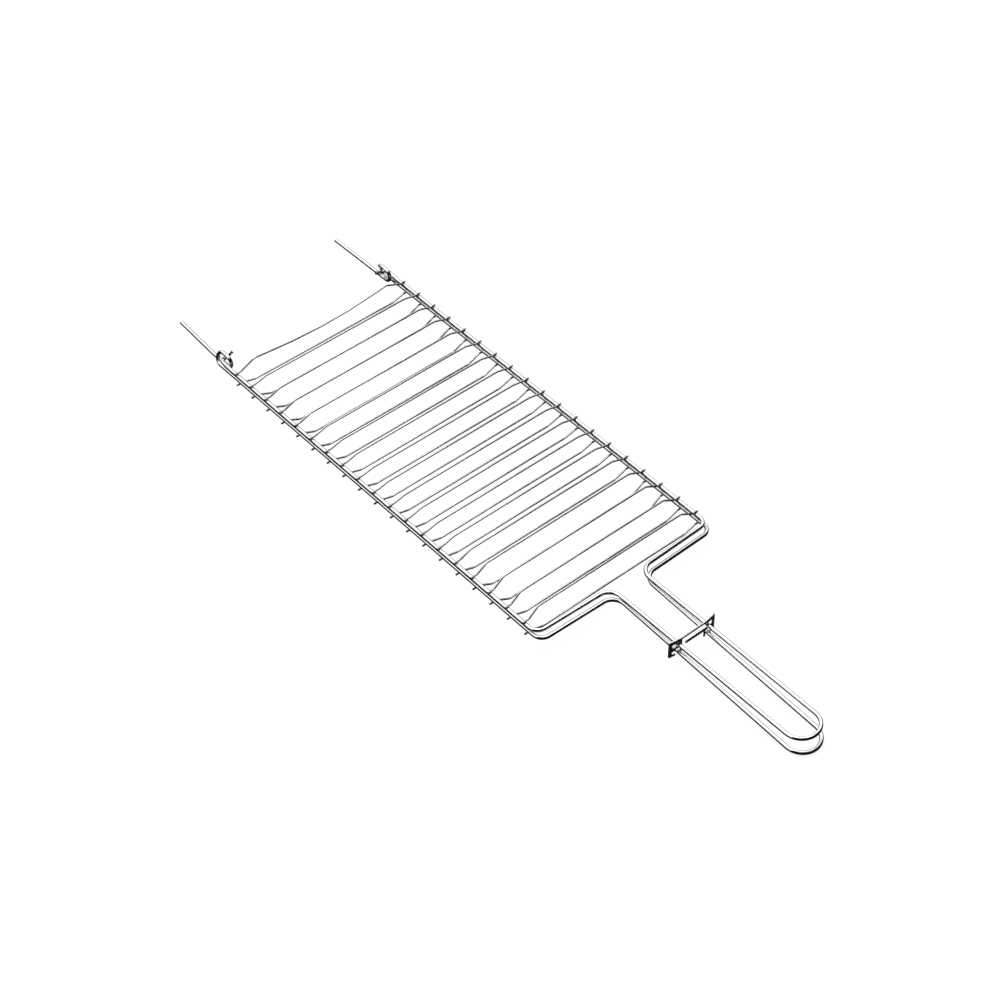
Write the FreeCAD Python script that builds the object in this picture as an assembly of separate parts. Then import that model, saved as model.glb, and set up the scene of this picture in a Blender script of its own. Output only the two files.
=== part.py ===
import FreeCAD, Part
import math
import os

# Two-leaf wire grill basket. Millimetres, +Z up.
# +X runs from the hinges to the handle, Y runs across the basket.
# Working datum: x = 0 at the first upper cross wire, z = 0 at the centreline
# of the upper frame wire. SHIFT moves the finished pieces so that the row's
# origin is the middle of the bounding box's bottom face.

V = FreeCAD.Vector

# ---- driving dimensions ----------------------------------------------------
D_FRAME = 4.0            # frame wire diameter
D_CROSS = 2.0            # cross wire diameter
N_CROSS = 19             # cross wires in each leaf
PITCH = 24.0             # cross wire spacing
HALF_W = 105.0           # half the width, side wire centreline to middle
LEAF_GAP = 5.0           # upper to lower frame, centreline to centreline
R_CORNER = 10.0          # basket corner bend
R_NECK = 14.0            # bend from shoulder to handle leg
LEG_HALF = 17.75         # half the handle leg spacing

X_SHOULDER_U = 447.4     # upper shoulder at the corner
SHOULDER_LEAN_U = 2.6    # how far it leans towards the handle at the neck
X_SHOULDER_L = 453.4     # the same for the lower frame
SHOULDER_LEAN_L = 2.0
X_END_U = 691.5          # outermost centreline of the handle bend, upper
X_END_L = 693.9          # the same for the lower frame
HANDLE_DROP = 12.0       # how far the lower handle falls away over its length

LOWER_WIRE_SHIFT = 4.1   # lower cross wires stand this far towards the handle
WELD_SINK = 0.15         # how far a resistance weld sinks wire into wire
TIP_U = 107.5            # half length of an upper cross wire, cut end
TIP_L = 109.0            # half length of a lower cross wire, cut end
Y_FOOT = 101.0           # where a cross wire starts to lift off the frame
Y_KNEE = 87.5            # where it turns into its flat run
# The wires are bent and laid by hand, so no two flat runs are quite alike:
# height of each flat run above the upper (below the lower) frame centreline,
# and how far it leans towards the handle from the wire's own welds.
FLAT_U = [0.0, 6.3, 7.8, 8.0, 7.6, 7.0, 6.4, 6.5, 5.4, 5.6,
          5.8, 6.6, 5.9, 6.8, 7.8, 8.6, 9.3, 9.3, 9.4]
LEAN_U = [0.0] * 14 + [-0.4, -1.2, -1.9, -1.9, -2.1]
FLAT_L = [6.8, 9.2, 9.4, 9.8, 9.1, 8.7, 8.0, 7.6, 7.8, 6.8,
          6.7, 5.9, 6.7, 6.4, 7.8, 9.2, 9.4, 7.9, 6.9]
LEAN_L = [0.0, 0.2, 0.2, 0.3] + [0.0] * 11 + [1.4, 1.6, 0.0, 0.0]
R_FOOT = 5.0
R_KNEE = 8.0

X_PIN = -27.0            # hinge axis
Z_PIN = 1.8
PIN_IN = 98.5            # where the pin's end turns up
PIN_TIP = 91.0           # free end of the pin
PIN_RISE = 4.0           # how far the free end stands above the hinge axis
R_PIN_BEND = 4.6
LOOP_X0 = -28.0          # hinge loop: left and right bend centres
LOOP_X1 = -22.5
LOOP_H = 13.0            # loop height, centreline to centreline
LOOP_SHIFT = 4.6         # one turn moves the wire inward by this much
ROD_TIP_X = -106.0       # free end of the support rods
ROD_TIP_NEAR = 97.4      # half spacing at the near rod's free end
ROD_TIP_FAR = 99.8       # half spacing at the far rod's free end

CLIP_X = 539.4           # middle of the clip plate along the handle
CLIP_T = 1.2             # plate thickness
CLIP_HALF = 28.0         # half the plate's width
CLIP_TOP = 6.8           # top edge
CLIP_BOTTOM = -13.2      # bottom edge of the two tabs
CLIP_BAND = 4.4          # bottom of the flat band over the thumb catch
CLIP_WINDOW = 13.6       # half the width between the tabs
CATCH_HALF = 13.2        # half the width of the thumb catch
CATCH_OUT = 4.1          # how far the thumb catch stands out
CATCH_TOP = 5.0          # where its slope starts
CATCH_LIP = 3.7          # where its front lip turns down
CATCH_LOW = 1.6          # height of its free edge
CLIP_SWEEP = 2.0         # how far the outer ends are swept back
HOLE_R = 2.3             # hole for an upper handle leg
NOTCH_R = 2.45           # notch for a lower handle leg
NOTCH_TOP = -4.7         # top of the notch
SLOT_OUT = 22.6          # outer centre of the long holes and hook pockets
POCKET_Z = -8.7          # height of the hook pockets
POCKET_R = 2.0

OVERALL_BOTTOM = -LEAF_GAP - HANDLE_DROP - D_FRAME / 2
X_LOW = ROD_TIP_X
X_HIGH = X_END_L + D_FRAME / 2


# Each frame is one bent wire. It is written as solids that meet face to face,
# so that the collision shape keeps its corners and its handle open.
CUTS_U = [6, 7, 10, 11, 14, 15, 18, 19]
CUTS_L = [3, 10, 11, 14, 15, 18, 19, 22, 23, 30]


# ---- helpers ---------------------------------------------------------------
def route(points, radii):
    """A wire of straight runs with a tangent arc at each inner point."""
    edges = []
    last = points[0]
    for i in range(1, len(points) - 1):
        v = points[i]
        a = (points[i - 1] - v)
        b = (points[i + 1] - v)
        a.normalize()
        b.normalize()
        half = math.acos(max(-1.0, min(1.0, a.dot(b)))) / 2.0
        r = radii[i - 1]
        t = r / math.tan(half)
        p0 = v + a * t
        p1 = v + b * t
        m = a + b
        m.normalize()
        centre = v + m * (r / math.sin(half))
        back = v - centre
        back.normalize()
        pm = centre + back * r
        if (p0 - last).Length > 1e-6:
            edges.append(Part.LineSegment(last, p0).toShape())
        edges.append(Part.Arc(p0, pm, p1).toShape())
        last = p1
    edges.append(Part.LineSegment(last, points[-1]).toShape())
    return edges


def wire_solid(points, radii, dia):
    """Round wire of one diameter along a route, with square-cut ends."""
    return swept(route(points, radii), dia)


def wire_group(points, radii, dia, cuts):
    """The same wire as solids that meet face to face. cuts are the numbers of
    the edges that begin a new solid."""
    edges = route(points, radii)
    ends = list(cuts) + [len(edges)]
    starts = [0] + list(cuts)
    return Part.makeCompound([swept(edges[a:b], dia) for a, b in zip(starts, ends)])


def swept(edges, dia):
    path = Part.Wire(edges)
    first = edges[0]
    start = first.valueAt(first.FirstParameter)
    direction = first.tangentAt(first.FirstParameter)
    ring = Part.Wire([Part.makeCircle(dia / 2.0, start, direction)])
    solid = path.makePipeShell([ring], True, False)
    if solid.ShapeType != "Solid":
        solid = Part.Solid(solid.Shells[0])
    if solid.Volume < 0:
        solid.reverse()
    want = math.pi * dia * dia / 4.0 * path.Length
    print("length %.1f mm, volume %.1f of %.1f mm3, valid %s"
          % (path.Length, solid.Volume, want, solid.isValid()))
    return solid


SHIFT = V(-(X_LOW + X_HIGH) / 2.0, 0.0, -OVERALL_BOTTOM)


def save(name, shape):
    shape = shape.copy()
    shape.translate(SHIFT)
    shape.exportStep("parts/%s.step" % name)
    print(name, [round(v, 2) for v in (shape.BoundBox.XMin, shape.BoundBox.XMax,
                                       shape.BoundBox.YMin, shape.BoundBox.YMax,
                                       shape.BoundBox.ZMin, shape.BoundBox.ZMax)])


def handle_z(x):
    """Height of the lower frame's centreline along the handle."""
    x0 = X_SHOULDER_L + SHOULDER_LEAN_L
    if x <= x0:
        return -LEAF_GAP
    return -LEAF_GAP - HANDLE_DROP * (x - x0) / (X_END_L - x0)


# ---- upper frame: pins, sides, shoulders and handle from one wire ----------
def upper_half(s):
    """Points and bend radii from the hinge pin's free end to the handle end.
    s is -1 on the near side and +1 on the far side."""
    xn = X_SHOULDER_U + SHOULDER_LEAN_U
    pts = [V(X_PIN, s * PIN_TIP, Z_PIN + PIN_RISE),
           V(X_PIN, s * PIN_IN, Z_PIN),
           V(X_PIN, s * HALF_W, Z_PIN),
           V(-9.0, s * HALF_W, 0.0),
           V(X_SHOULDER_U, s * HALF_W, 0.0),
           V(xn, s * LEG_HALF, 0.0),
           V(X_END_U, s * LEG_HALF, 0.0)]
    rad = [5.0, R_PIN_BEND, 40.0, R_CORNER, R_NECK, LEG_HALF - 0.02]
    return pts, rad


pn, rn = upper_half(-1)
pf, rf = upper_half(1)
# edges: 0-5 pin and its rise, 6 side, 7-9 corner, shoulder and neck, 10 leg,
# 11-13 end bend, 14 leg, 15-17 neck, shoulder and corner, 18 side, 19-24 pin
upper_frame = wire_group(pn + pf[::-1], rn + rf[::-1], D_FRAME, CUTS_U)


# ---- lower frame: rods, hinge loops, sides, shoulders and handle -----------
def lower_half(s, rod_tip):
    zl = -LEAF_GAP
    yin = HALF_W - LOOP_SHIFT
    r_flat = LOOP_H / 2.0 - 0.01
    r_tilt = math.hypot(LOOP_H, LOOP_SHIFT) / 2.0 - 0.01
    xn = X_SHOULDER_L + SHOULDER_LEAN_L
    pts = [V(ROD_TIP_X, s * rod_tip, zl)]
    rad = []
    if abs(rod_tip - yin) > 0.01:
        pts.append(V(-48.0, s * yin, zl))
        rad.append(60.0)
    pts += [V(LOOP_X1 + r_flat + 0.01, s * yin, zl),
           V(LOOP_X1 + r_flat + 0.01, s * yin, zl + LOOP_H),
           V(LOOP_X0 - r_tilt - 0.01, s * yin, zl + LOOP_H),
           V(LOOP_X0 - r_tilt - 0.01, s * HALF_W, zl),
           V(X_SHOULDER_L, s * HALF_W, zl),
           V(xn, s * LEG_HALF, handle_z(xn)),
           V(X_END_L, s * LEG_HALF, handle_z(X_END_L))]
    rad += [r_flat, r_flat, r_tilt, r_tilt, R_CORNER, R_NECK, LEG_HALF - 0.02]
    return pts, rad


pn, rn = lower_half(-1, ROD_TIP_NEAR)
pf, rf = lower_half(1, ROD_TIP_FAR)
lower_frame = wire_group(pn + pf[::-1], rn + rf[::-1], D_FRAME, CUTS_L)


# ---- cross wires -----------------------------------------------------------
Z_WELD = D_FRAME / 2 + D_CROSS / 2 - WELD_SINK


def cross_wire(x, z_frame, up, flat, lean, tip):
    z0 = z_frame + up * Z_WELD
    z1 = z_frame + up * flat
    xk = x + lean
    pts = [V(x, -tip, z0), V(x, -Y_FOOT, z0), V(xk, -Y_KNEE, z1),
           V(xk, Y_KNEE, z1), V(x, Y_FOOT, z0), V(x, tip, z0)]
    return wire_solid(pts, [R_FOOT, R_KNEE, R_KNEE, R_FOOT], D_CROSS)


def first_cross_wire():
    """The wire nearest the hinges, with high knees and a middle that has
    sagged towards the food."""
    pts = [V(0, -TIP_U, Z_WELD), V(0, -Y_FOOT, Z_WELD), V(0, -83.0, 10.8),
           V(0, 0, -0.6),
           V(0, 83.0, 10.8), V(0, Y_FOOT, Z_WELD), V(0, TIP_U, Z_WELD)]
    return wire_solid(pts, [R_FOOT, R_KNEE, 520.0, R_KNEE, R_FOOT], D_CROSS)


# ---- locking clip ----------------------------------------------------------
def lock_clip():
    """A bent sheet-steel bridge. Two round holes run on the upper handle legs,
    and two notches, open at the bottom, take the lower ones."""
    t = CLIP_T
    xf = CLIP_X + t / 2.0
    outline = [V(xf - CLIP_SWEEP, -CLIP_HALF, 0), V(xf, -CLIP_WINDOW, 0),
               V(xf, CLIP_WINDOW, 0), V(xf - CLIP_SWEEP, CLIP_HALF, 0),
               V(xf - CLIP_SWEEP - t, CLIP_HALF, 0), V(xf - t, CLIP_WINDOW, 0),
               V(xf - t, -CLIP_WINDOW, 0), V(xf - CLIP_SWEEP - t, -CLIP_HALF, 0)]
    face = Part.Face(Part.makePolygon(outline + [outline[0]]))
    plate = face.extrude(V(0, 0, CLIP_TOP - CLIP_BOTTOM))
    plate.translate(V(0, 0, CLIP_BOTTOM))
    # round the four outer corners of the sheet, and the window's two
    def corner_cut(sy, y, z, r, sz):
        c = Part.makeBox(20, r, r, V(CLIP_X - 10, y - (r if sy > 0 else 0), z - (r if sz > 0 else 0)))
        rod = Part.makeCylinder(r, 24, V(CLIP_X - 12, y - sy * r, z - sz * r), V(1, 0, 0))
        return c.cut(rod)
    for sy in (-1, 1):
        plate = plate.cut(corner_cut(sy, sy * CLIP_HALF, CLIP_TOP, 1.6, 1))
        plate = plate.cut(corner_cut(sy, sy * CLIP_HALF, CLIP_BOTTOM, 1.6, -1))
    window = Part.makeBox(20, 2 * CLIP_WINDOW, CLIP_BAND - CLIP_BOTTOM + 1,
                          V(CLIP_X - 10, -CLIP_WINDOW, CLIP_BOTTOM - 1))
    plate = plate.cut(window)
    # thumb catch: the strip between the legs is bent forward, with its front edge turned down
    slope = math.atan2(CATCH_OUT, CATCH_TOP - CATCH_LIP)
    nx, nz = t * math.cos(slope), t * math.sin(slope)
    fall = (CATCH_TOP - CATCH_LIP) / CATCH_OUT
    xo = xf + CATCH_OUT
    under = lambda x: CATCH_TOP - nz - (x - (xf - nx)) * fall
    ring = [V(x, -CATCH_HALF, z) for x, z in (
        (xf - t, CATCH_TOP + 0.3), (xf - t, under(xf - t)), (xo - t, under(xo - t)), (xo - t, CATCH_LOW),
        (xo, CATCH_LOW), (xo, CATCH_LIP), (xf, CATCH_TOP), (xf, CATCH_TOP + 0.3))]
    catch = Part.Face(Part.makePolygon(ring + [ring[0]])).extrude(V(0, 2 * CATCH_HALF, 0))
    plate = plate.fuse(catch)
    for sy in (-1, 1):
        y = sy * LEG_HALF
        # long hole for the upper leg, with room on its outer side
        plate = plate.cut(Part.makeCylinder(HOLE_R, 20, V(CLIP_X - 10, y, 0), V(1, 0, 0)))
        plate = plate.cut(Part.makeCylinder(HOLE_R, 20, V(CLIP_X - 10, sy * SLOT_OUT, 0), V(1, 0, 0)))
        plate = plate.cut(Part.makeBox(20, SLOT_OUT - LEG_HALF, 2 * HOLE_R,
                                       V(CLIP_X - 10, min(y, sy * SLOT_OUT), -HOLE_R)))
        # notch for the lower leg, open downwards, with a hook pocket outside it
        zc = NOTCH_TOP - NOTCH_R
        notch = Part.makeCylinder(NOTCH_R, 20, V(CLIP_X - 10, y, zc), V(1, 0, 0))
        slot = Part.makeBox(20, 2 * NOTCH_R, zc - CLIP_BOTTOM + 1,
                            V(CLIP_X - 10, y - NOTCH_R, CLIP_BOTTOM - 1))
        plate = plate.cut(notch.fuse(slot))
        plate = plate.cut(Part.makeCylinder(POCKET_R, 20, V(CLIP_X - 10, sy * SLOT_OUT, POCKET_Z), V(1, 0, 0)))
        plate = plate.cut(Part.makeBox(20, SLOT_OUT - LEG_HALF, 2 * POCKET_R,
                                       V(CLIP_X - 10, min(y, sy * SLOT_OUT), POCKET_Z - POCKET_R)))
    plate = plate.removeSplitter()
    solids = plate.Solids
    print("clip solids", len(solids), "volume", round(plate.Volume, 1), plate.isValid())
    return solids[0]


os.makedirs("parts", exist_ok=True)
save("upper_frame", upper_frame)
save("lower_frame", lower_frame)
for i in range(N_CROSS):
    x = i * PITCH
    if i == 0:
        save("upper_wire_01", first_cross_wire())
    else:
        save("upper_wire_%02d" % (i + 1),
             cross_wire(x, 0.0, 1, FLAT_U[i], LEAN_U[i], TIP_U))
    save("lower_wire_%02d" % (i + 1),
         cross_wire(x + LOWER_WIRE_SHIFT, -LEAF_GAP, -1, FLAT_L[i], LEAN_L[i], TIP_L))
save("lock_clip", lock_clip())
print("shift", SHIFT, "hinge", V(X_PIN, 0, Z_PIN) + SHIFT)
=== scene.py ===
import math

import bpy
import numpy as np
from mathutils import Matrix, Vector
from mathutils.geometry import delaunay_2d_cdt


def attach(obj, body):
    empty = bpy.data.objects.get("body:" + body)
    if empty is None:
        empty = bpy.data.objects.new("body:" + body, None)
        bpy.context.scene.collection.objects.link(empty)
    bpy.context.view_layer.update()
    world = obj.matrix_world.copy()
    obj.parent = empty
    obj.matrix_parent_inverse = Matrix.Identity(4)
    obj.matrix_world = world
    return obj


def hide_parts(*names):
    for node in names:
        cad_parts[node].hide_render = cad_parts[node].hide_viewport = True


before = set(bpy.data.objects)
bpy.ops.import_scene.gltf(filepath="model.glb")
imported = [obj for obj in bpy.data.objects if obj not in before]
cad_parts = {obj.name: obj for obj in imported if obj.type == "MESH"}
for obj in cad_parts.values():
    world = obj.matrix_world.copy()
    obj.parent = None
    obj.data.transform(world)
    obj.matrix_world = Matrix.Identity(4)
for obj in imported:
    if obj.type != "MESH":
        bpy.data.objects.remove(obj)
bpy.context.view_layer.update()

# ---------------------------------------------------------------------------
# Two-leaf wire grill basket: smooth drawn wires, resistance welds, cut ends and
# a formed sheet clip, laid along the same centrelines as the CAD. Route numbers
# are in millimetres in the basket's working datum (x = 0 at the first upper
# cross wire, z = 0 at the upper frame wire) and are moved to the row frame.
# ---------------------------------------------------------------------------
SHIFT = np.array([-294.95, 0.0, 19.0])
R_FRAME, R_CROSS = 2.0, 1.0
PITCH, HALF_W, LEAF_GAP, LEG_HALF = 24.0, 105.0, 5.0, 17.75
X_SHOULDER_U, LEAN_SU, X_SHOULDER_L, LEAN_SL = 447.4, 2.6, 453.4, 2.0
X_END_U, X_END_L, HANDLE_DROP = 691.5, 693.9, 12.0
R_CORNER, R_NECK = 10.0, 14.0
X_PIN, Z_PIN, PIN_IN, PIN_TIP, PIN_RISE, R_PIN_BEND = -27.0, 1.8, 98.5, 91.0, 4.0, 4.6
LOOP_X0, LOOP_X1, LOOP_H, LOOP_SHIFT = -28.0, -22.5, 13.0, 4.6
ROD_TIP_X, ROD_TIP_NEAR, ROD_TIP_FAR = -106.0, 97.4, 99.8
Z_WELD = 2.85
TIP_U, TIP_L, Y_FOOT, Y_KNEE, R_FOOT, R_KNEE = 107.5, 109.0, 101.0, 87.5, 5.0, 8.0
LOWER_WIRE_SHIFT = 4.1
FLAT_U = [0.0, 6.3, 7.8, 8.0, 7.6, 7.0, 6.4, 6.5, 5.4, 5.6,
          5.8, 6.6, 5.9, 6.8, 7.8, 8.6, 9.3, 9.3, 9.4]
LEAN_U = [0.0] * 14 + [-0.4, -1.2, -1.9, -1.9, -2.1]
FLAT_L = [6.8, 9.2, 9.4, 9.8, 9.1, 8.7, 8.0, 7.6, 7.8, 6.8,
          6.7, 5.9, 6.7, 6.4, 7.8, 9.2, 9.4, 7.9, 6.9]
LEAN_L = [0.0, 0.2, 0.2, 0.3] + [0.0] * 11 + [1.4, 1.6, 0.0, 0.0]
CLIP_X, CLIP_T, CLIP_HALF, CLIP_TOP, CLIP_BOTTOM = 539.4, 1.2, 28.0, 6.8, -13.2
CLIP_WINDOW, CATCH_HALF, CLIP_SWEEP = 13.6, 13.2, 2.0
CATCH_OUT, CATCH_TOP, CATCH_LIP, CATCH_LOW = 4.1, 5.0, 3.7, 1.6


# ---- camera, floor and light ----------------------------------------------
scene = bpy.context.scene
cam_data = bpy.data.cameras.new("camera")
cam_data.sensor_width = 36.0
cam_data.lens = 93.477
cam_data.clip_start, cam_data.clip_end = 0.05, 200.0
cam = bpy.data.objects.new("camera", cam_data)
scene.collection.objects.link(cam)
right, up, back = (0.64957, 0.76029, -0.00452), (-0.53918, 0.46484, 0.70229), (0.53604, -0.45375, 0.71188)
m = Matrix((
    (right[0], up[0], back[0], 1.30741),
    (right[1], up[1], back[1], -1.12397),
    (right[2], up[2], back[2], 1.74954),
    (0.0, 0.0, 0.0, 1.0)))
cam.matrix_world = m
scene.camera = cam
scene.view_settings.view_transform = "Standard"
scene.view_settings.look = "None"


def new_material(name):
    mat = bpy.data.materials.new(name)
    mat.use_nodes = True
    nt = mat.node_tree
    nt.nodes.clear()
    out = nt.nodes.new("ShaderNodeOutputMaterial")
    bsdf = nt.nodes.new("ShaderNodeBsdfPrincipled")
    nt.links.new(bsdf.outputs["BSDF"], out.inputs["Surface"])
    return mat, nt, bsdf


def node(nt, kind, **values):
    n = nt.nodes.new(kind)
    for k, v in values.items():
        if k.startswith("in_"):
            n.inputs[int(k[3:])].default_value = v
        else:
            setattr(n, k, v)
    return n


def maths(nt, op, a, b=None, clamp=False):
    n = nt.nodes.new("ShaderNodeMath")
    n.operation = op
    n.use_clamp = clamp
    for i, v in enumerate((a, b)):
        if v is None:
            continue
        if isinstance(v, (int, float)):
            n.inputs[i].default_value = v
        else:
            nt.links.new(v, n.inputs[i])
    return n.outputs[0]


# the studio: a broad white surround above, a dark bench below that only the
# bright metal sees, as under a light tent
world = bpy.data.worlds.new("studio")
scene.world = world
world.use_nodes = True
wn = world.node_tree
wn.nodes.clear()
w_out = wn.nodes.new("ShaderNodeOutputWorld")
w_bg = wn.nodes.new("ShaderNodeBackground")
w_co = wn.nodes.new("ShaderNodeTexCoord")
w_sep = wn.nodes.new("ShaderNodeSeparateXYZ")
wn.links.new(w_co.outputs["Generated"], w_sep.inputs[0])


def w_math(op, a, b=None):
    n = wn.nodes.new("ShaderNodeMath")
    n.operation = op
    for i, v in enumerate((a, b)):
        if v is None:
            continue
        if isinstance(v, (int, float)):
            n.inputs[i].default_value = v
        else:
            wn.links.new(v, n.inputs[i])
    return n.outputs[0]


def w_ramp(value, lo, hi, to_lo, to_hi):
    n = node(wn, "ShaderNodeMapRange", interpolation_type="SMOOTHSTEP")
    wn.links.new(value, n.inputs["Value"])
    for k, v in (("From Min", lo), ("From Max", hi), ("To Min", to_lo), ("To Max", to_hi)):
        n.inputs[k].default_value = v
    return n.outputs["Result"]


wx, wy, wz = w_sep.outputs["X"], w_sep.outputs["Y"], w_sep.outputs["Z"]
flat_len = w_math("MAXIMUM", w_math("SQRT", w_math("ADD", w_math("MULTIPLY", wx, wx), w_math("MULTIPLY", wy, wy))), 0.001)


def lobe(azimuth, lo, hi, gain):
    """1 at one compass direction, falling to 0 on either side of it, times gain."""
    a = math.radians(azimuth)
    d = w_math("DIVIDE", w_math("ADD", w_math("MULTIPLY", wx, math.cos(a)), w_math("MULTIPLY", wy, math.sin(a))), flat_len)
    return w_ramp(d, lo, hi, 0.0, gain)


# the handle's side of the room is dark up to the ceiling
edge = w_math("ADD", lobe(0.0, 0.09, 0.19, 0.75), 0.32)
edge = w_math("SUBTRACT", edge, lobe(166.0, 0.76, 0.95, 0.24))
above = w_math("SUBTRACT", wz, edge)
wn.links.new(w_ramp(above, -0.035, 0.035, 0.010, 1.22), w_bg.inputs["Strength"])
w_bg.inputs["Color"].default_value = (1, 1, 1, 1)
wn.links.new(w_bg.outputs[0], w_out.inputs[0])

light_data = bpy.data.lights.new("overhead_softbox", "AREA")
light_data.shape = "RECTANGLE"
light_data.size, light_data.size_y = 2.4, 1.6
light_data.energy = 16.0
light = bpy.data.objects.new("overhead_softbox", light_data)
light.location = (-0.2, 0.3, 2.2)
light.rotation_euler = (math.radians(-6), math.radians(-5), 0)
scene.collection.objects.link(light)

floor_mesh = bpy.data.meshes.new("floor")
S, N = 14.0, 14
fv = [(-S + 2 * S * i / N, -S + 2 * S * j / N, 0.0) for j in range(N + 1) for i in range(N + 1)]
ff = [(j * (N + 1) + i, j * (N + 1) + i + 1, (j + 1) * (N + 1) + i + 1, (j + 1) * (N + 1) + i)
      for j in range(N) for i in range(N)]
floor_mesh.from_pydata(fv, [], ff)
floor = bpy.data.objects.new("floor", floor_mesh)
scene.collection.objects.link(floor)
floor.location.z = -0.0004
floor.visible_glossy = False
f_mat, f_nt, f_b = new_material("pale_floor")
f_b.inputs["Base Color"].default_value = (0.25, 0.25, 0.25, 1)
f_b.inputs["Roughness"].default_value = 0.9
f_b.inputs["Emission Color"].default_value = (1, 1, 1, 1)
f_b.inputs["Emission Strength"].default_value = 0.86
floor_mesh.materials.append(f_mat)


# ---- materials -------------------------------------------------------------
def wire_coords(nt, around, along):
    """Coordinates that wrap round the wire with no seam, from the piece's own UV map."""
    uv = nt.nodes.new("ShaderNodeUVMap")
    uv.uv_map = "wire"
    sep = nt.nodes.new("ShaderNodeSeparateXYZ")
    nt.links.new(uv.outputs["UV"], sep.inputs[0])
    a = maths(nt, "MULTIPLY", sep.outputs["X"], 2 * math.pi)
    cx = maths(nt, "MULTIPLY", maths(nt, "COSINE", a), around)
    cy = maths(nt, "MULTIPLY", maths(nt, "SINE", a), around)
    cz = maths(nt, "MULTIPLY", sep.outputs["Y"], along)
    comb = nt.nodes.new("ShaderNodeCombineXYZ")
    for i, v in enumerate((cx, cy, cz)):
        nt.links.new(v, comb.inputs[i])
    return comb.outputs[0]


def plated_wire(name, low, high, rough, seed, burnt, burn):
    """Bright plated drawn wire: die lines along it, cloudy plating, small pits, a dull tint at the welds."""
    mat, nt, b = new_material(name)
    L = nt.links.new
    obj = nt.nodes.new("ShaderNodeTexCoord").outputs["Object"]
    cloud = node(nt, "ShaderNodeTexNoise", noise_dimensions="4D")
    cloud.inputs["Scale"].default_value = 38.0
    cloud.inputs["Detail"].default_value = 4.0
    cloud.inputs["W"].default_value = seed
    L(obj, cloud.inputs["Vector"])
    lines = node(nt, "ShaderNodeTexNoise", noise_dimensions="4D")
    lines.inputs["Scale"].default_value = 1.0
    lines.inputs["Detail"].default_value = 3.0
    lines.inputs["W"].default_value = seed + 3.0
    L(wire_coords(nt, 5.5, 70.0), lines.inputs["Vector"])
    pits = node(nt, "ShaderNodeTexNoise", noise_dimensions="4D")
    pits.inputs["Scale"].default_value = 900.0
    pits.inputs["Detail"].default_value = 2.0
    pits.inputs["W"].default_value = seed + 7.0
    L(obj, pits.inputs["Vector"])
    ramp = nt.nodes.new("ShaderNodeValToRGB")
    ramp.color_ramp.elements[0].position, ramp.color_ramp.elements[0].color = 0.30, (*low, 1)
    ramp.color_ramp.elements[1].position, ramp.color_ramp.elements[1].color = 0.68, (*high, 1)
    L(cloud.outputs["Fac"], ramp.inputs["Fac"])
    heat = nt.nodes.new("ShaderNodeAttribute")
    heat.attribute_name = "weld_heat"
    tint = node(nt, "ShaderNodeMix", data_type="RGBA", blend_type="MIX")
    tint.inputs["B"].default_value = (*burnt, 1)
    L(maths(nt, "MULTIPLY", heat.outputs["Fac"], burn, clamp=True), tint.inputs["Factor"])
    L(ramp.outputs["Color"], tint.inputs["A"])
    # satin mask: raises the roughness and also paints the base colour paler, toward near-white, a painted highlight; no
    # piece here sets the mask, so it is zero on every point
    satin = nt.nodes.new("ShaderNodeAttribute")
    satin.attribute_name = "satin"
    pale = node(nt, "ShaderNodeMix", data_type="RGBA", blend_type="MIX")
    pale.inputs["B"].default_value = (0.93, 0.93, 0.935, 1)
    L(maths(nt, "MULTIPLY", satin.outputs["Fac"], 0.95, clamp=True), pale.inputs["Factor"])
    L(tint.outputs["Result"], pale.inputs["A"])
    L(pale.outputs["Result"], b.inputs["Base Color"])
    r = maths(nt, "MULTIPLY", maths(nt, "SUBTRACT", cloud.outputs["Fac"], 0.5), 0.12)
    r = maths(nt, "ADD", r, maths(nt, "MULTIPLY", maths(nt, "SUBTRACT", lines.outputs["Fac"], 0.5), 0.10))
    r = maths(nt, "ADD", r, maths(nt, "MULTIPLY", heat.outputs["Fac"], 0.16))
    r = maths(nt, "ADD", r, maths(nt, "MULTIPLY", satin.outputs["Fac"], 0.55))
    L(maths(nt, "ADD", r, rough, clamp=True), b.inputs["Roughness"])
    h = maths(nt, "ADD", maths(nt, "MULTIPLY", lines.outputs["Fac"], 0.7), maths(nt, "MULTIPLY", pits.outputs["Fac"], 0.3))
    bump = nt.nodes.new("ShaderNodeBump")
    bump.inputs["Strength"].default_value = 0.35
    bump.inputs["Distance"].default_value = 0.00003
    L(h, bump.inputs["Height"])
    L(bump.outputs["Normal"], b.inputs["Normal"])
    b.inputs["Metallic"].default_value = 1.0
    return mat


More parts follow.
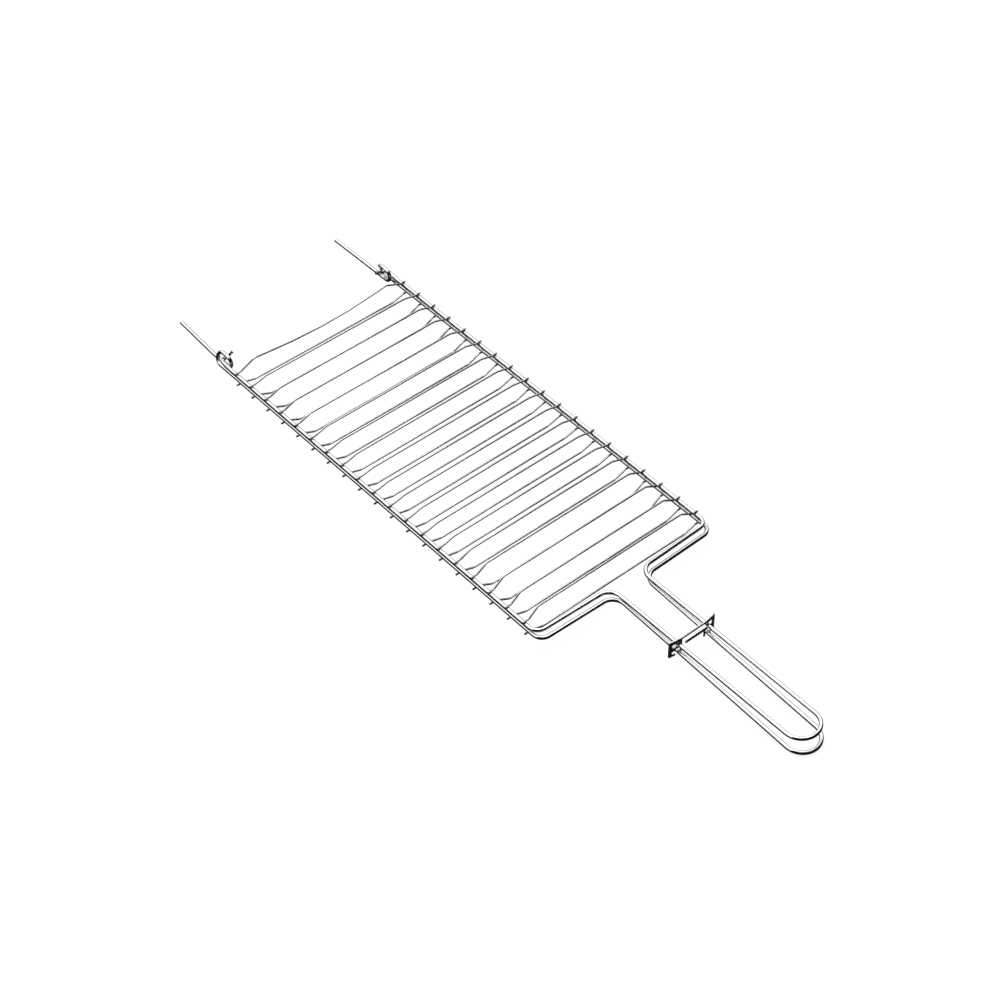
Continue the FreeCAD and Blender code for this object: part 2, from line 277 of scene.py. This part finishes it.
def bare_metal(name, dark, light, rough, scale, seed, bump_mm, cool=None):
    """Weld squeeze-out or a sheared face: coarser grain, duller than the plating.
    With cool, the places that stayed cooler take that brighter shade."""
    mat, nt, b = new_material(name)
    L = nt.links.new
    obj = nt.nodes.new("ShaderNodeTexCoord").outputs["Object"]
    grain = node(nt, "ShaderNodeTexNoise", noise_dimensions="4D")
    grain.inputs["Scale"].default_value = scale
    grain.inputs["Detail"].default_value = 5.0
    grain.inputs["W"].default_value = seed
    L(obj, grain.inputs["Vector"])
    ramp = nt.nodes.new("ShaderNodeValToRGB")
    ramp.color_ramp.elements[0].position, ramp.color_ramp.elements[0].color = 0.35, (*dark, 1)
    ramp.color_ramp.elements[1].position, ramp.color_ramp.elements[1].color = 0.65, (*light, 1)
    L(grain.outputs["Fac"], ramp.inputs["Fac"])
    colour = ramp.outputs["Color"]
    if cool is not None:
        heat = nt.nodes.new("ShaderNodeAttribute")
        heat.attribute_name = "weld_heat"
        mix = node(nt, "ShaderNodeMix", data_type="RGBA", blend_type="MIX")
        mix.inputs["A"].default_value = (*cool, 1)
        L(heat.outputs["Fac"], mix.inputs["Factor"])
        L(colour, mix.inputs["B"])
        colour = mix.outputs["Result"]
    L(colour, b.inputs["Base Color"])
    L(maths(nt, "ADD", maths(nt, "MULTIPLY", grain.outputs["Fac"], 0.25), rough, clamp=True), b.inputs["Roughness"])
    bump = nt.nodes.new("ShaderNodeBump")
    bump.inputs["Strength"].default_value = 0.6
    bump.inputs["Distance"].default_value = bump_mm / 1000.0
    L(grain.outputs["Fac"], bump.inputs["Height"])
    L(bump.outputs["Normal"], b.inputs["Normal"])
    b.inputs["Metallic"].default_value = 1.0
    return mat


def plated_sheet(name):
    """Plated sheet steel: rolling grain along the strip, cloudy polish, worn darker and duller round the holes."""
    mat, nt, b = new_material(name)
    L = nt.links.new
    obj = nt.nodes.new("ShaderNodeTexCoord").outputs["Object"]
    stretch = node(nt, "ShaderNodeVectorMath", operation="MULTIPLY")
    stretch.inputs[1].default_value = (1500.0, 60.0, 1500.0)
    L(obj, stretch.inputs[0])
    grain = node(nt, "ShaderNodeTexNoise", noise_dimensions="3D")
    grain.inputs["Scale"].default_value = 1.0
    grain.inputs["Detail"].default_value = 4.0
    L(stretch.outputs[0], grain.inputs["Vector"])
    cloud = node(nt, "ShaderNodeTexNoise", noise_dimensions="3D")
    cloud.inputs["Scale"].default_value = 160.0
    cloud.inputs["Detail"].default_value = 4.0
    L(obj, cloud.inputs["Vector"])
    ramp = nt.nodes.new("ShaderNodeValToRGB")
    ramp.color_ramp.elements[0].position, ramp.color_ramp.elements[0].color = 0.30, (0.80, 0.80, 0.805, 1)
    ramp.color_ramp.elements[1].position, ramp.color_ramp.elements[1].color = 0.70, (0.90, 0.90, 0.905, 1)
    L(cloud.outputs["Fac"], ramp.inputs["Fac"])
    wear = nt.nodes.new("ShaderNodeAttribute")
    wear.attribute_name = "wear"
    rub = node(nt, "ShaderNodeMix", data_type="RGBA", blend_type="MIX")
    rub.inputs["B"].default_value = (0.55, 0.54, 0.53, 1)
    L(maths(nt, "MULTIPLY", maths(nt, "MULTIPLY", wear.outputs["Fac"], grain.outputs["Fac"]), 0.9, clamp=True), rub.inputs["Factor"])
    L(ramp.outputs["Color"], rub.inputs["A"])
    L(rub.outputs["Result"], b.inputs["Base Color"])
    r = maths(nt, "MULTIPLY", maths(nt, "SUBTRACT", grain.outputs["Fac"], 0.5), 0.14)
    r = maths(nt, "ADD", r, maths(nt, "MULTIPLY", wear.outputs["Fac"], 0.12))
    L(maths(nt, "ADD", r, 0.10, clamp=True), b.inputs["Roughness"])
    bump = nt.nodes.new("ShaderNodeBump")
    bump.inputs["Strength"].default_value = 0.3
    bump.inputs["Distance"].default_value = 0.00002
    L(grain.outputs["Fac"], bump.inputs["Height"])
    L(bump.outputs["Normal"], b.inputs["Normal"])
    b.inputs["Metallic"].default_value = 1.0
    return mat


FRAME_MAT = plated_wire("plated_frame_wire", (0.80, 0.80, 0.805), (0.91, 0.91, 0.915), 0.08, 1.0, (0.42, 0.40, 0.37), 0.5)
# the cross wires have the frame wire's plating but a darker base colour: painted shade, so that they read as darker
# lines
CROSS_MAT = plated_wire("plated_cross_wire", (0.58, 0.58, 0.585), (0.74, 0.74, 0.745), 0.10, 11.0, (0.10, 0.10, 0.10), 0.9)
WELD_MAT = bare_metal("weld_squeeze_out", (0.16, 0.155, 0.15), (0.40, 0.39, 0.38), 0.20, 1400.0, 2.0, 0.05, (0.80, 0.79, 0.78))
END_MAT = bare_metal("sheared_wire_end", (0.22, 0.22, 0.23), (0.42, 0.42, 0.43), 0.30, 2600.0, 5.0, 0.04)
SHEET_MAT = plated_sheet("plated_sheet_steel")
EDGE_MAT = bare_metal("sheared_sheet_edge", (0.42, 0.42, 0.43), (0.68, 0.68, 0.69), 0.25, 1800.0, 9.0, 0.03)


# ---- centrelines -----------------------------------------------------------
def route(points, radii, step, arc_deg=6.0):
    """Straight runs with a tangent arc at each inner point, as evenly spaced
    places along the wire, in the working datum."""
    pts = [np.array(p, float) for p in points]
    out, last = [pts[0]], pts[0]

    def run_to(p):
        n = max(1, int(math.ceil(np.linalg.norm(p - last) / step)))
        for k in range(1, n + 1):
            out.append(last + (p - last) * k / n)

    for i in range(1, len(pts) - 1):
        v = pts[i]
        a = (pts[i - 1] - v) / np.linalg.norm(pts[i - 1] - v)
        b = (pts[i + 1] - v) / np.linalg.norm(pts[i + 1] - v)
        half = math.acos(max(-1.0, min(1.0, float(a @ b)))) / 2.0
        r = radii[i - 1]
        t = r / math.tan(half)
        p0, p1 = v + a * t, v + b * t
        mid = (a + b) / np.linalg.norm(a + b)
        centre = v + mid * (r / math.sin(half))
        if np.linalg.norm(p0 - last) > 0.05:
            run_to(p0)
        e0, e1 = (p0 - centre) / r, (p1 - centre) / r
        turn = math.pi - 2 * half
        n = max(2, int(math.ceil(math.degrees(turn) / arc_deg)))
        for k in range(1, n + 1):
            w = k / n
            out.append(centre + r * (math.sin((1 - w) * turn) * e0 + math.sin(w * turn) * e1) / math.sin(turn))
        last = p1
    run_to(pts[-1])
    keep = [out[0]]
    for p in out[1:]:
        if np.linalg.norm(p - keep[-1]) > 0.04:
            keep.append(p)
    return np.array(keep)


def handle_z(x):
    x0 = X_SHOULDER_L + LEAN_SL
    return -LEAF_GAP - HANDLE_DROP * max(0.0, (x - x0) / (X_END_L - x0))


def upper_half(s):
    xn = X_SHOULDER_U + LEAN_SU
    return ([(X_PIN, s * PIN_TIP, Z_PIN + PIN_RISE), (X_PIN, s * PIN_IN, Z_PIN), (X_PIN, s * HALF_W, Z_PIN),
             (-9.0, s * HALF_W, 0.0), (X_SHOULDER_U, s * HALF_W, 0.0), (xn, s * LEG_HALF, 0.0),
             (X_END_U, s * LEG_HALF, 0.0)],
            [5.0, R_PIN_BEND, 40.0, R_CORNER, R_NECK, LEG_HALF - 0.02])


def lower_half(s, rod_tip):
    zl, yin = -LEAF_GAP, HALF_W - LOOP_SHIFT
    r_flat = LOOP_H / 2.0 - 0.01
    r_tilt = math.hypot(LOOP_H, LOOP_SHIFT) / 2.0 - 0.01
    xn = X_SHOULDER_L + LEAN_SL
    pts, rad = [(ROD_TIP_X, s * rod_tip, zl)], []
    if abs(rod_tip - yin) > 0.01:
        pts.append((-48.0, s * yin, zl))
        rad.append(60.0)
    xr, xl = LOOP_X1 + r_flat + 0.01, LOOP_X0 - r_tilt - 0.01
    pts += [(xr, s * yin, zl), (xr, s * yin, zl + LOOP_H), (xl, s * yin, zl + LOOP_H), (xl, s * HALF_W, zl),
            (X_SHOULDER_L, s * HALF_W, zl), (xn, s * LEG_HALF, handle_z(xn)),
            (X_END_L, s * LEG_HALF, handle_z(X_END_L))]
    rad += [r_flat, r_flat, r_tilt, r_tilt, R_CORNER, R_NECK, LEG_HALF - 0.02]
    return pts, rad


# ---- swept wire meshes -----------------------------------------------------
def frames_along(c):
    """Tangents and a twist-free pair of normals for each place on a centreline."""
    d = np.diff(c, axis=0)
    d /= np.linalg.norm(d, axis=1)[:, None]
    tan = np.vstack([d[:1], d[:-1] + d[1:], d[-1:]])
    tan /= np.linalg.norm(tan, axis=1)[:, None]
    n = np.cross(tan[0], (0, 0, 1.0)) if abs(tan[0][2]) < 0.9 else np.cross(tan[0], (1.0, 0, 0))
    n /= np.linalg.norm(n)
    us = [n]
    for i in range(1, len(c)):
        n = n - tan[i] * (n @ tan[i])
        n /= np.linalg.norm(n)
        us.append(n)
    us = np.array(us)
    return tan, us, np.cross(tan, us)


class Builder:
    """Collects vertices, faces, wire coordinates, heat and slots for one piece."""

    def __init__(self):
        self.v, self.f, self.uv, self.m, self.heat, self.satin_painted_pale_mask = [], [], [], [], [], None

    def tube(self, c, r, sides, squeeze=0.0, heat=None, mat=0, end_mat=1, chamfer=0.22, seed=0):
        """A round wire along c with small chamfers and a slightly uneven sheared face at each end."""
        rng = np.random.default_rng(seed)
        tan, u, w = frames_along(c)
        s = np.concatenate([[0], np.cumsum(np.linalg.norm(np.diff(c, axis=0), axis=1))])
        # bends flatten a drawn wire a little across the bend
        bend = np.zeros_like(c)
        bend[1:-1] = c[:-2] - 2 * c[1:-1] + c[2:]
        seg = np.ones(len(c))
        seg[1:-1] = (s[2:] - s[:-2]) / 2
        bend = bend / (seg ** 2)[:, None]
        k = np.linalg.norm(bend, axis=1)
        bdir = np.where(k[:, None] > 1e-6, bend / np.maximum(k, 1e-9)[:, None], 0)
        k = np.convolve(k, np.ones(3) / 3, "same")
        flat = np.clip(k * 10.0, 0, 1) * squeeze
        cham = min(chamfer, r * 0.3)
        dome = r * 0.05
        rings = [(c[0], 0, r - cham, s[0])]
        rings.append((c[0] + tan[0] * cham, 0, r, s[0] + cham))
        for i in range(1, len(c) - 1):
            if cham * 1.5 < s[i] < s[-1] - cham * 1.5:
                rings.append((c[i], i, r, s[i]))
        last = len(c) - 1
        rings.append((c[last] - tan[last] * cham, last, r, s[last] - cham))
        rings.append((c[last], last, r - cham, s[last]))
        base = len(self.v)
        ang = np.arange(sides) * 2 * math.pi / sides
        for p, i, rad, along in rings:
            off = rad * (np.cos(ang)[:, None] * u[i] + np.sin(ang)[:, None] * w[i])
            if flat[i] > 0:
                inward = off @ bdir[i]
                across = off - inward[:, None] * bdir[i]
                off = inward[:, None] * bdir[i] * (1 - flat[i]) + across * (1 + flat[i] * 0.5)
            for q in p + off:
                self.v.append(q)
                self.heat.append(0.0 if heat is None else heat(p))
        n = len(rings)
        for a in range(n - 1):
            for j in range(sides):
                j2 = (j + 1) % sides
                self.f.append((base + a * sides + j, base + a * sides + j2,
                               base + (a + 1) * sides + j2, base + (a + 1) * sides + j))
                u0, u1 = j / sides, (j + 1) / sides
                v0, v1 = rings[a][3] / 1000.0, rings[a + 1][3] / 1000.0
                self.uv.append([(u0, v0), (u1, v0), (u1, v1), (u0, v1)])
                self.m.append(end_mat if a in (0, n - 2) else mat)
        # sheared faces: two inner rings and a middle point, pushed in and out a little
        for ring, i, sign in ((0, 0, -1.0), (n - 1, last, 1.0)):
            p, rad = c[i], r - cham
            inner = []
            for share, depth in ((0.72, 0.4), (0.36, 0.9)):
                start = len(self.v)
                wob = rng.uniform(-0.35, 0.35, sides) * dome
                tilt = rng.uniform(-0.5, 0.5, 2) * dome
                for j in range(sides):
                    q = p + share * rad * (math.cos(ang[j]) * u[i] + math.sin(ang[j]) * w[i])
                    q = q - sign * tan[i] * (dome * depth + wob[j] + tilt[0] * math.cos(ang[j]) + tilt[1] * math.sin(ang[j]))
                    self.v.append(q)
                    self.heat.append(0.0)
                inner.append(start)
            mid = len(self.v)
            self.v.append(p - sign * tan[i] * dome)
            self.heat.append(0.0)
            loops = [base + ring * sides] + inner
            for a, b in zip(loops[:-1], loops[1:]):
                for j in range(sides):
                    j2 = (j + 1) % sides
                    q = (a + j, b + j, b + j2, a + j2)
                    self.f.append(q if sign < 0 else q[::-1])
                    self.uv.append([(j / sides, 0.0)] * 4)
                    self.m.append(end_mat)
            for j in range(sides):
                j2 = (j + 1) % sides
                t = (inner[-1] + j, mid, inner[-1] + j2)
                self.f.append(t if sign < 0 else t[::-1])
                self.uv.append([(j / sides, 0.0)] * 3)
                self.m.append(end_mat)

    def nugget(self, x, y, z_frame, up, seed, mat=2):
        """The metal squeezed out round a resistance weld: a thin collar that drapes
        over the frame wire and climbs the sides of the cross wire."""
        rng = np.random.default_rng(seed)
        ph = rng.uniform(0, 2 * math.pi, 4)
        am = rng.uniform(0.03, 0.10, 4)
        base, nu, nv = len(self.v), 20, 9
        ax, ay = 1.34 + rng.uniform(-0.08, 0.10), 1.42 + rng.uniform(-0.12, 0.14)
        for a in range(nv + 1):
            th = math.pi * a / nv
            for b in range(nu):
                f = 2 * math.pi * b / nu
                wob = 1 + sum(am[k] * math.sin((k + 2) * f + ph[k]) for k in range(4)) * math.sin(th)
                px = ax * math.sin(th) * math.cos(f) * wob
                py = ay * math.sin(th) * math.sin(f) * wob
                pz = math.cos(th) * 0.34
                drape = R_FRAME - math.sqrt(max(0.3, R_FRAME ** 2 - min(py, 1.9) ** 2)) if abs(py) < 1.9 else 1.2
                climb = max(0.0, 1.0 - math.sqrt(max(0.05, 1.0 - min(abs(px), 0.95) ** 2))) * 0.45
                self.v.append(np.array([x + px, y + py, z_frame + up * (1.90 - drape + pz + climb)]))
                self.heat.append(0.5)
        for a in range(nv):
            for b in range(nu):
                b2 = (b + 1) % nu
                q = (base + a * nu + b, base + (a + 1) * nu + b, base + (a + 1) * nu + b2, base + a * nu + b2)
                self.f.append(q if up > 0 else q[::-1])
                self.uv.append([(0.5, 0.0)] * len(q))
                self.m.append(mat)

    def finish(self, name, mats, body, replaced):
        me = bpy.data.meshes.new(name)
        pts = (np.array(self.v) + SHIFT) / 1000.0
        me.from_pydata([tuple(p) for p in pts], [], self.f)
        uv = me.uv_layers.new(name="wire")
        flat = [c for face in self.uv for c in face]
        uv.data.foreach_set("uv", np.array(flat, np.float32).ravel())
        at = me.attributes.new("weld_heat", "FLOAT", "POINT")
        at.data.foreach_set("value", np.array(self.heat, np.float32))
        # satin mask: zero on every point unless the builder is given a mask; it would paint the wire paler (a painted
        # highlight) and make it rougher
        am = me.attributes.new("satin", "FLOAT", "POINT")
        am.data.foreach_set("value", np.array([0.0 if self.satin_painted_pale_mask is None else self.satin_painted_pale_mask(q) for q in self.v], np.float32))
        for mat in mats:
            me.materials.append(mat)
        me.polygons.foreach_set("material_index", np.array(self.m, np.int32))
        me.polygons.foreach_set("use_smooth", np.ones(len(self.f), bool))
        me.update()
        ob = bpy.data.objects.new(name, me)
        scene.collection.objects.link(ob)
        clean(me)
        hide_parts(replaced)
        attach(ob, body)
        return ob


def clean(me):
    """Joins doubled points, drops faces with no area and points every face outwards."""
    import bmesh
    bm = bmesh.new()
    bm.from_mesh(me)
    bmesh.ops.remove_doubles(bm, verts=bm.verts, dist=1e-7)
    bmesh.ops.dissolve_degenerate(bm, edges=bm.edges, dist=1e-7)
    bmesh.ops.recalc_face_normals(bm, faces=bm.faces)
    for e in bm.edges:
        if len(e.link_faces) == 2 and e.calc_face_angle(0.0) > math.radians(38):
            e.smooth = False
    bm.to_mesh(me)
    bm.free()


def waver(c, amp, seed, lo, hi, axis):
    """A drawn and straightened wire is never dead straight: long shallow waves
    between two places along one axis, fading out at both."""
    rng = np.random.default_rng(seed)
    t = np.clip((c[:, axis] - lo) / (hi - lo), 0, 1)
    fade = np.clip(np.minimum(t, 1 - t) * 8, 0, 1)
    fade = fade * fade * (3 - 2 * fade)
    out = c.copy()
    for other in range(3):
        if other == axis:
            continue
        wave = sum(rng.uniform(0.3, 1.0) / k * np.sin(2 * math.pi * k * t + rng.uniform(0, 6.28)) for k in (1, 2, 3, 5))
        out[:, other] += amp * fade * wave / 1.8
    return out


def weld_heat(places, reach=2.6):
    pl = np.array(places)
    return lambda p: 0.5 * float(np.exp(-(np.linalg.norm(pl - p, axis=1).min() / reach) ** 2))


upper_x = [PITCH * i for i in range(19)]
lower_x = [PITCH * i + LOWER_WIRE_SHIFT for i in range(19)]


def frame_wire(name, halves, xs, z, up, replaced, body, seed):
    (pn, rn), (pf, rf) = halves
    c = route(pn + pf[::-1], rn + rf[::-1], 4.0, 5.0)
    for s in (-1, 1):
        side = (np.abs(c[:, 1] - s * HALF_W) < 0.6) & (c[:, 0] > 8) & (c[:, 0] < 432)
        c[side] = waver(c[side], 0.05, seed + s, 8.0, 432.0, 0)
    b = Builder()
    heat = weld_heat([(x, s * HALF_W, z + up * R_FRAME) for x in xs for s in (-1, 1)])
    b.tube(c, R_FRAME, 28, squeeze=0.03, heat=heat, chamfer=0.35, seed=seed)
    return b.finish(name, [FRAME_MAT, END_MAT], body, replaced)


frame_wire("upper_frame_wire", (upper_half(-1), upper_half(1)), upper_x, 0.0, 1, "upper_frame", "upper_leaf", 21)
frame_wire("lower_frame_wire", (lower_half(-1, ROD_TIP_NEAR), lower_half(1, ROD_TIP_FAR)), lower_x,
           -LEAF_GAP, -1, "lower_frame", "lower_leaf", 22)


def cross_piece(i, leaf):
    upper = leaf == "upper"
    z_frame, up_, tip = (0.0, 1, TIP_U) if upper else (-LEAF_GAP, -1, TIP_L)
    x = upper_x[i] if upper else lower_x[i]
    z0 = z_frame + up_ * Z_WELD
    if upper and i == 0:
        pts = [(0, -tip, z0), (0, -Y_FOOT, z0), (0, -83.0, 10.8), (0, 0, -0.6), (0, 83.0, 10.8), (0, Y_FOOT, z0), (0, tip, z0)]
        rad = [R_FOOT, R_KNEE, 520.0, R_KNEE, R_FOOT]
    else:
        flat, lean = (FLAT_U[i], LEAN_U[i]) if upper else (FLAT_L[i], LEAN_L[i])
        z1, xk = z_frame + up_ * flat, x + lean
        pts = [(x, -tip, z0), (x, -Y_FOOT, z0), (xk, -Y_KNEE, z1), (xk, Y_KNEE, z1), (x, Y_FOOT, z0), (x, tip, z0)]
        rad = [R_FOOT, R_KNEE, R_KNEE, R_FOOT]
    seed = 100 + i + (0 if upper else 50)
    c = waver(route(pts, rad, 5.0, 4.0), 0.16, seed, -84.0, 84.0, 1)
    b = Builder()
    welds = [(x, s * HALF_W, z_frame + up_ * R_FRAME) for s in (-1, 1)]
    b.tube(c, R_CROSS, 18, squeeze=0.03, heat=weld_heat(welds, 3.6), chamfer=0.16, seed=seed)
    for k, (wx, wy, _) in enumerate(welds):
        b.nugget(wx, wy, z_frame, up_, seed * 7 + k)
    b.finish("%s_cross_wire_%02d" % (leaf, i + 1), [CROSS_MAT, END_MAT, WELD_MAT], leaf + "_leaf",
             "%s_wire_%02d" % (leaf, i + 1))


for i in range(19):
    cross_piece(i, "upper")
    cross_piece(i, "lower")


# ---- locking clip ----------------------------------------------------------
def rounded(points, radii, step=0.45):
    """A closed outline with rounded corners, as evenly spaced places."""
    n, out = len(points), []
    pts = [np.array(p, float) for p in points]
    runs = []
    for i in range(n):
        v, a, b = pts[i], pts[i - 1], pts[(i + 1) % n]
        a = (a - v) / np.linalg.norm(a - v)
        b = (b - v) / np.linalg.norm(b - v)
        half = math.acos(max(-1.0, min(1.0, float(a @ b)))) / 2
        r = radii[i]
        t = r / math.tan(half)
        p0, p1 = v + a * t, v + b * t
        mid = (a + b) / np.linalg.norm(a + b)
        centre = v + mid * r / math.sin(half)
        turn = math.pi - 2 * half
        k = max(3, int(math.ceil(turn * r / (step * 0.7))))
        arc = [centre + (math.sin((1 - w) * turn) * (p0 - centre) + math.sin(w * turn) * (p1 - centre)) / math.sin(turn)
               for w in np.linspace(0, 1, k + 1)]
        runs.append(arc)
    for i in range(n):
        out += runs[i]
        a, b = runs[i][-1], runs[(i + 1) % n][0]
        k = int(np.linalg.norm(b - a) / step)
        out += [a + (b - a) * j / (k + 1) for j in range(1, k + 1)]
    return np.array(out)


def inset(loop, d):
    """The loop moved d towards the metal, which lies on its left."""
    t = np.roll(loop, -1, 0) - np.roll(loop, 1, 0)
    t /= np.linalg.norm(t, axis=1)[:, None]
    return loop + d * np.stack([-t[:, 1], t[:, 0]], 1)


def inside(p, loop):
    x, y = loop[:, 0], loop[:, 1]
    x2, y2 = np.roll(x, -1), np.roll(y, -1)
    cross = ((y > p[1]) != (y2 > p[1])) & (p[0] < (x2 - x) * (p[1] - y) / (y2 - y + 1e-12) + x)
    return bool(cross.sum() % 2)


def catch_path():
    """Mid-surface of the thumb catch seen from the side, by length from the
    first bend: down the band, forward along the slope, then down the lip."""
    h = CLIP_T / 2
    slope = math.atan2(CATCH_OUT, CATCH_TOP - CATCH_LIP)
    # mid-surface lines: x = 0, the slope line, and x = CATCH_OUT
    zc = CATCH_TOP - h * math.sin(slope) + (h - h * math.cos(slope)) / math.tan(slope)
    zl = zc - CATCH_OUT / math.tan(slope)
    pts = [np.array(q) for q in ((0.0, 6.7), (0.0, zc), (CATCH_OUT, zl), (CATCH_OUT, CATCH_LOW))]
    out = [pts[0]]
    for i, r in ((1, 0.85), (2, 0.75)):
        v = pts[i]
        p = (pts[i - 1] - v) / np.linalg.norm(pts[i - 1] - v)
        q = (pts[i + 1] - v) / np.linalg.norm(pts[i + 1] - v)
        half = math.acos(float(p @ q)) / 2
        t = r / math.tan(half)
        c = v + (p + q) / np.linalg.norm(p + q) * r / math.sin(half)
        turn = math.pi - 2 * half
        for w in np.linspace(0, 1, 13):
            out.append(c + (math.sin((1 - w) * turn) * (v + p * t - c) + math.sin(w * turn) * (v + q * t - c)) / math.sin(turn))
    out.append(pts[3])
    out = np.array(out)
    return out, np.concatenate([[0], np.cumsum(np.linalg.norm(np.diff(out, axis=0), axis=1))])


CATCH, CATCH_S = catch_path()
CATCH_FLAT = 6.7 - CATCH_S[-1]          # the free edge's height in the flat sheet


def clip_place(y, z):
    """Mid-surface of the bent sheet at flat position y, z: the ends are swept
    back and the strip between the legs is bent forward as a thumb catch."""
    a = abs(y)
    e = max(0.0, a - 13.9)
    x = -CLIP_SWEEP * (math.sqrt(e * e + 1.2 ** 2) - 1.2) / (math.sqrt(14.1 ** 2 + 1.2 ** 2) - 1.2)
    t = max(0.0, min(1.0, (CLIP_WINDOW - a) / (CLIP_WINDOW - CATCH_HALF)))
    s = 6.7 - z
    if t > 0 and s > 0:
        s = min(s, CATCH_S[-1] + 1.0)
        i = min(int(np.searchsorted(CATCH_S, s)), len(CATCH_S) - 1)
        w = (s - CATCH_S[i - 1]) / (CATCH_S[i] - CATCH_S[i - 1])
        q = CATCH[i - 1] + (CATCH[i] - CATCH[i - 1]) * w
        x += q[0] * t
        z = z + (q[1] - z) * t
    return np.array([CLIP_X + x, y, z])


def clip_point(y, z, w):
    d = 0.02
    py = clip_place(y + d, z) - clip_place(y - d, z)
    pz = clip_place(y, z + d) - clip_place(y, z - d)
    n = np.cross(py, pz)
    return clip_place(y, z) + w * n / np.linalg.norm(n)


def make_clip():
    half = [(28.0, 6.8, 1.6), (28.0, -13.2, 1.6), (20.25, -13.2, 0.5), (20.25, -10.75, 0.35), (24.6, -10.75, 1.9),
            (24.6, -6.75, 1.9), (20.15, -6.75, 0.3), (20.15, -4.7, 1.45), (15.35, -4.7, 2.0), (15.35, -13.2, 0.5),
            (CLIP_WINDOW, -13.2, 0.5), (CLIP_WINDOW, 4.6, 0.19), (CATCH_HALF, 4.6, 0.19), (CATCH_HALF, CATCH_FLAT, 0.7)]
    right_side = [(y, z) for y, z, r in half]
    radii = [r for y, z, r in half]
    pts = right_side + [(-y, z) for y, z in right_side[::-1]]
    radii = radii + radii[::-1]
    outer = rounded(pts, radii)[::-1]          # metal on the left when walked this way
    area = 0.5 * np.sum(outer[:, 0] * np.roll(outer[:, 1], -1) - np.roll(outer[:, 0], -1) * outer[:, 1])
    if area < 0:
        outer = outer[::-1]
    holes = []
    for s in (-1, 1):
        c0, c1 = sorted((s * LEG_HALF, s * 22.6))
        th = np.linspace(-math.pi / 2, math.pi / 2, 20)
        loop = [(c1 + 2.3 * math.cos(t), 2.3 * math.sin(t)) for t in th]
        loop += [(c1 + (c0 - c1) * k / 11, 2.3) for k in range(1, 11)]
        loop += [(c0 - 2.3 * math.cos(t), -2.3 * math.sin(t)) for t in th]
        loop += [(c0 + (c1 - c0) * k / 11, -2.3) for k in range(1, 11)]
        holes.append(np.array(loop)[::-1])
    loops = [outer] + holes
    b, h = 0.16, CLIP_T / 2
    inner_loops = [inset(lp, b) for lp in loops]
    # the sheet's faces: outline points plus a grid of inner points, so that it can bend
    verts2, edges = [], []
    for lp in inner_loops:
        k0 = len(verts2)
        verts2 += [tuple(p) for p in lp]
        edges += [(k0 + i, k0 + (i + 1) % len(lp)) for i in range(len(lp))]
    n_edge = len(verts2)
    edge_pts = np.array(verts2)
    grid = []
    coarse = [(gy, gz) for gy in np.arange(-27.6, 27.61, 0.8) for gz in np.arange(-12.8, 6.61, 0.8)
              if abs(gy) > CATCH_HALF or gz > 6.2]
    fine = [(gy, gz) for gy in np.linspace(-12.8, 12.8, 27) for gz in np.arange(CATCH_FLAT + 0.25, 6.2, 0.17)]
    for gy, gz in coarse + fine:
            p = np.array([gy, gz])
            if np.linalg.norm(edge_pts - p, axis=1).min() < (0.42 if abs(gy) > CATCH_HALF or gz > 6.2 else 0.12):
                continue
            if inside(p, inner_loops[0]) and not any(inside(p, q) for q in inner_loops[1:]):
                grid.append((gy, gz))
    all2 = verts2 + grid
    v2, _, tris, _, _, _ = delaunay_2d_cdt([Vector(p) for p in all2], edges, [], 0, 1e-6)
    v2 = np.array([tuple(p) for p in v2])
    keep = []
    for t in tris:
        cen = v2[list(t)].mean(0)
        if inside(cen, inner_loops[0]) and not any(inside(cen, q) for q in inner_loops[1:]):
            keep.append(tuple(t))
    V, F, M = [], [], []
    for w in (h, -h):
        base = len(V)
        V += [clip_point(p[0], p[1], w) for p in v2]
        for t in keep:
            F.append(tuple(base + k for k in (t if w > 0 else t[::-1])))
            M.append(0)
    # rounded edge all round each outline, from the front face over the wall to the back face
    profile = []
    for k in range(4):
        a = math.pi / 2 * k / 3
        profile.append((b * (1 - math.sin(a)), h - b * (1 - math.cos(a))))
    profile += [(0.0, h * 0.2), (0.0, -h * 0.35)]
    for k in range(4):
        a = math.pi / 2 * (3 - k) / 3
        profile.append((b * (1 - math.sin(a)), -h + b * (1 - math.cos(a))))
    for lp in loops:
        rings = []
        for d, w in profile:
            q = inset(lp, d)
            rings.append(len(V))
            V += [clip_point(p[0], p[1], w) for p in q]
        n = len(lp)
        for r0, r1, k in zip(rings[:-1], rings[1:], range(len(rings))):
            for i in range(n):
                j = (i + 1) % n
                F.append((r0 + i, r1 + i, r1 + j, r0 + j))
                M.append(1 if 3 <= k <= 5 else 0)
    me = bpy.data.meshes.new("lock_clip_sheet")
    pts3 = (np.array(V) + SHIFT) / 1000.0
    me.from_pydata([tuple(p) for p in pts3], [], F)
    me.materials.append(SHEET_MAT)
    me.materials.append(EDGE_MAT)
    me.polygons.foreach_set("material_index", np.array(M, np.int32))
    me.polygons.foreach_set("use_smooth", np.ones(len(F), bool))
    me.update()
    ob = bpy.data.objects.new("lock_clip_sheet", me)
    scene.collection.objects.link(ob)
    clean(me)
    wear = me.attributes.new("wear", "FLOAT", "POINT")
    co = np.array([v.co for v in me.vertices]) * 1000.0 - SHIFT
    d1 = np.minimum(np.hypot(np.abs(co[:, 1]) - LEG_HALF, co[:, 2]), np.hypot(np.abs(co[:, 1]) - LEG_HALF, co[:, 2] + 7.5))
    wear.data.foreach_set("value", np.exp(-(np.maximum(0, d1 - 2.3) / 1.5) ** 2).astype(np.float32))
    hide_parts("lock_clip")
    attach(ob, "clip")
    return ob


make_clip()
